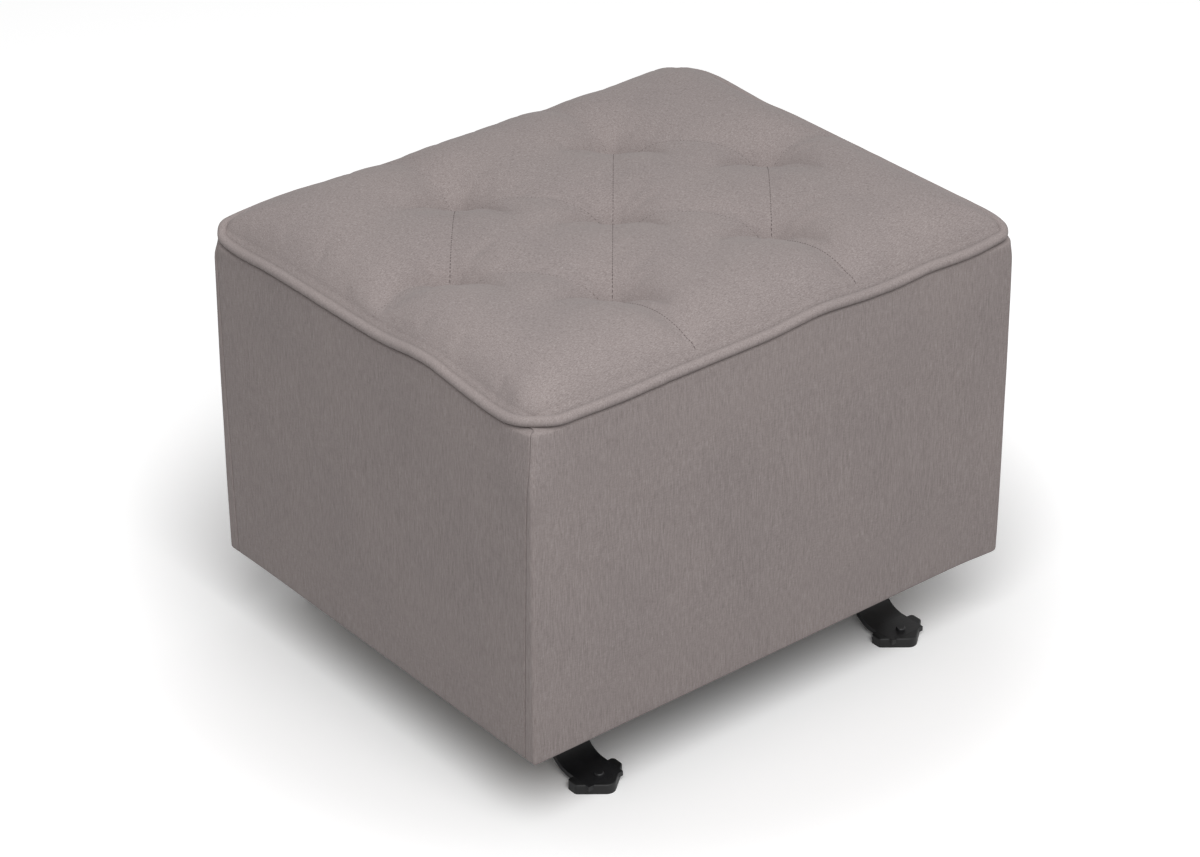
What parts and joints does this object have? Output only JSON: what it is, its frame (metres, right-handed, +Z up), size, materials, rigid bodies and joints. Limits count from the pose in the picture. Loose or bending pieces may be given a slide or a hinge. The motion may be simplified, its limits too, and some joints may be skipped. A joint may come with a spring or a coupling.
{
  "type": "glider ottoman",
  "caption": "Upholstered box ottoman with a tufted seat and welt, gliding fore and aft on hanging links above two arched black runners.",
  "frame": {"origin": "on the floor, under the middle of the ottoman at rest", "axes": "+X along the long front face to the sitter's right as the front is looked at, -Y towards the front, +Z up"},
  "size_m": [0.565, 0.471, 0.4509],
  "materials": {
    "steel_black": "satin black paint",
    "foot_plastic": "matte black",
    "zinc_steel": "bright zinc",
    "nylon": "natural",
    "rubber_black": "matte",
    "plywood": "raw",
    "softwood": "raw",
    "foam": "matte",
    "wadding_white": "matte",
    "cover_cloth": "heathered linen-look weave",
    "welt_cloth": "heathered linen-look weave",
    "dust_cloth": "matte black",
    "twine": "matte",
    "toggle_plastic": "natural"
  },
  "bodies": {
    "base": {"right_runner": "steel_black", "left_runner": "steel_black", "front_right_foot": "foot_plastic", "front_left_foot": "foot_plastic", "rear_right_foot": "foot_plastic", "rear_left_foot": "foot_plastic", "foot_screws": "zinc_steel", "right_side_plate": "steel_black", "left_side_plate": "steel_black", "front_cross_tube": "steel_black", "rear_cross_tube": "steel_black", "frame_bolts": "zinc_steel", "frame_nuts": "zinc_steel", "upper_pivot_bolts": "zinc_steel", "upper_pivot_spacers": "zinc_steel", "upper_pivot_nuts": "zinc_steel", "stop_bumpers": "rubber_black", "stop_bolts": "zinc_steel"},
    "front_right_link": {"front_right_link": "steel_black", "front_right_link_bushes": "nylon"},
    "front_left_link": {"front_left_link": "steel_black", "front_left_link_bushes": "nylon"},
    "rear_right_link": {"rear_right_link": "steel_black", "rear_right_link_bushes": "nylon"},
    "rear_left_link": {"rear_left_link": "steel_black", "rear_left_link_bushes": "nylon"},
    "ottoman": {"right_carriage_plate": "steel_black", "left_carriage_plate": "steel_black", "carriage_screws": "zinc_steel", "lower_pivot_bolts": "zinc_steel", "lower_pivot_washers": "zinc_steel", "lower_pivot_nuts": "zinc_steel", "right_mechanism_cleat": "softwood", "left_mechanism_cleat": "softwood", "front_right_corner_post": "softwood", "front_left_corner_post": "softwood", "rear_right_corner_post": "softwood", "rear_left_corner_post": "softwood", "front_board": "plywood", "rear_board": "plywood", "right_board": "plywood", "left_board": "plywood", "frame_screws": "zinc_steel", "seat_deck": "plywood", "seat_foam": "foam", "tuft_twine": "twine", "tuft_toggles": "toggle_plastic", "seat_cover": "cover_cloth", "welt": "welt_cloth", "front_wadding": "wadding_white", "rear_wadding": "wadding_white", "right_wadding": "wadding_white", "left_wadding": "wadding_white", "front_cover": "cover_cloth", "rear_cover": "cover_cloth", "right_cover": "cover_cloth", "left_cover": "cover_cloth", "dust_cover": "dust_cloth", "hem_staples": "zinc_steel"}
  },
  "joints": [
    {"name": "front_left_link_swing", "type": "hinge", "parent": "base", "child": "front_left_link", "pos_m": [-0.21, -0.09, 0.3], "axis": [1, 0, 0], "range_deg": [-17, 17]},
    {"name": "ottoman_glide", "type": "hinge", "parent": "front_left_link", "child": "ottoman", "pos_m": [-0.21, -0.09, 0.15], "axis": [1, 0, 0], "range_deg": [-17, 17]},
    {"name": "front_right_link_swing", "type": "hinge", "parent": "base", "child": "front_right_link", "pos_m": [0.21, -0.09, 0.3], "axis": [1, 0, 0], "range_deg": [-17, 17]},
    {"name": "rear_left_link_swing", "type": "hinge", "parent": "base", "child": "rear_left_link", "pos_m": [-0.21, 0.09, 0.3], "axis": [1, 0, 0], "range_deg": [-17, 17]},
    {"name": "rear_right_link_swing", "type": "hinge", "parent": "base", "child": "rear_right_link", "pos_m": [0.21, 0.09, 0.3], "axis": [1, 0, 0], "range_deg": [-17, 17]}
  ],
  "couplings": [
    {"joint": "front_left_link_swing", "follows": "ottoman_glide", "ratio": -1},
    {"joint": "front_right_link_swing", "follows": "ottoman_glide", "ratio": -1},
    {"joint": "rear_left_link_swing", "follows": "ottoman_glide", "ratio": -1},
    {"joint": "rear_right_link_swing", "follows": "ottoman_glide", "ratio": -1}
  ]
}
